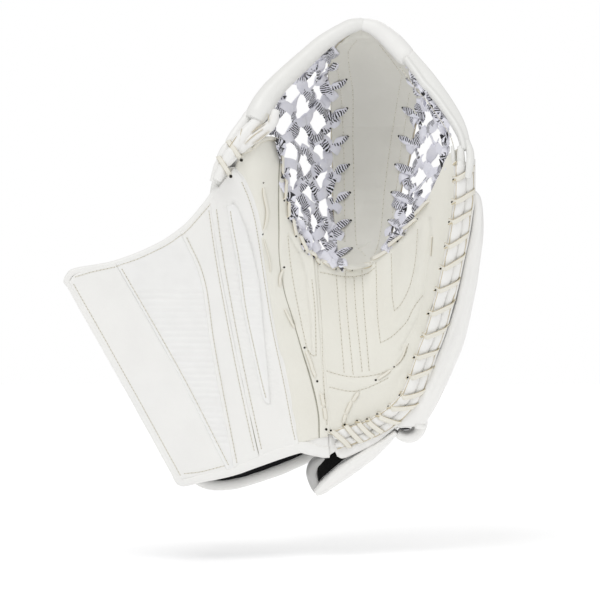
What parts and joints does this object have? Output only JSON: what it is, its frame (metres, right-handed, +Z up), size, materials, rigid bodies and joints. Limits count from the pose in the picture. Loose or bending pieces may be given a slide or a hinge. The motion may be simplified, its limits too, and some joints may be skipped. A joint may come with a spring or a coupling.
{
  "type": "goalie catch glove",
  "caption": "Hockey goalkeeper's left-hand catch glove: broad cuff, padded palm, laced rim and a deep pocket of T web and netting; the thumb side folds to close it.",
  "frame": {"origin": "middle of the wrist opening, between the cuff and the wrist guard", "axes": "+Z up towards the top of the pocket; +X from the thumb side to the finger side; +Y from the palm to the back of the hand"},
  "size_m": [0.3543, 0.1561, 0.411],
  "materials": {
    "leather_white": "smooth coated leather, satin",
    "leather_ivory": "soft leather, satin, slightly warm",
    "ribbed_textile": "finely ribbed coated textile, matte",
    "leather_lace": "rawhide lace, satin",
    "net_webbing": "flat woven lace webbing, matte",
    "padding": "felt and foam, matte",
    "board": "matte sheet",
    "black_lining": "knitted lining, matte",
    "hook_tape": "hook-and-loop tape, matte"
  },
  "bodies": {
    "finger_side": {"palm_face": "leather_ivory", "palm_felt": "padding", "palm_lining": "black_lining", "rim_roll_inner": "leather_white", "rim_roll_outer": "leather_white", "rim_lace": "leather_lace", "index_stall": "black_lining", "middle_stall": "black_lining", "ring_stall": "black_lining", "little_stall": "black_lining", "finger_strap": "leather_white", "backhand_guard": "leather_white", "backhand_plate": "leather_white", "backhand_lining": "black_lining", "backhand_foam": "padding", "wrist_guard": "leather_white", "wrist_guard_lining": "black_lining", "t_web_face": "leather_ivory", "t_web_back": "leather_white", "t_lace_left": "leather_lace", "t_lace_right": "leather_lace", "net_left": "net_webbing", "net_right": "net_webbing", "crotch_lace": "leather_lace", "top_roll_left": "leather_ivory", "top_roll_right": "leather_ivory", "finger_welt": "leather_ivory"},
    "thumb_side": {"cuff_outer_band": "leather_white", "cuff_rib_panel": "ribbed_textile", "cuff_middle_panel": "leather_white", "cuff_loop_panel": "leather_white", "cuff_inner_panel": "leather_white", "cuff_board": "board", "cuff_lining": "black_lining", "cuff_binding": "leather_white", "thumb_face": "leather_ivory", "thumb_crotch_panel": "leather_ivory", "thumb_pad": "padding", "thumb_stall": "black_lining", "thumb_rear_guard": "leather_white", "thumb_tip_lace": "leather_lace", "thumb_edge_lace": "leather_lace", "break_lace": "leather_lace"},
    "wrist_strap": {"wrist_strap": "leather_white", "wrist_strap_lining": "hook_tape"}
  },
  "joints": [
    {"name": "glove_break", "type": "hinge", "parent": "finger_side", "child": "thumb_side", "pos_m": [0.05, -0.0225, -0.0117], "axis": [-0.0793, 0, 0.9968], "range_deg": [0, 60], "stiffness_Nm_per_rad": 1.2, "springref_deg": -14.32, "deforming": ["net_left", "top_roll_left"]},
    {"name": "strap_fold", "type": "hinge", "parent": "finger_side", "child": "wrist_strap", "pos_m": [0.102, -0.003, -0.0128], "axis": [0, -1, 0], "range_deg": [0, 65]}
  ]
}
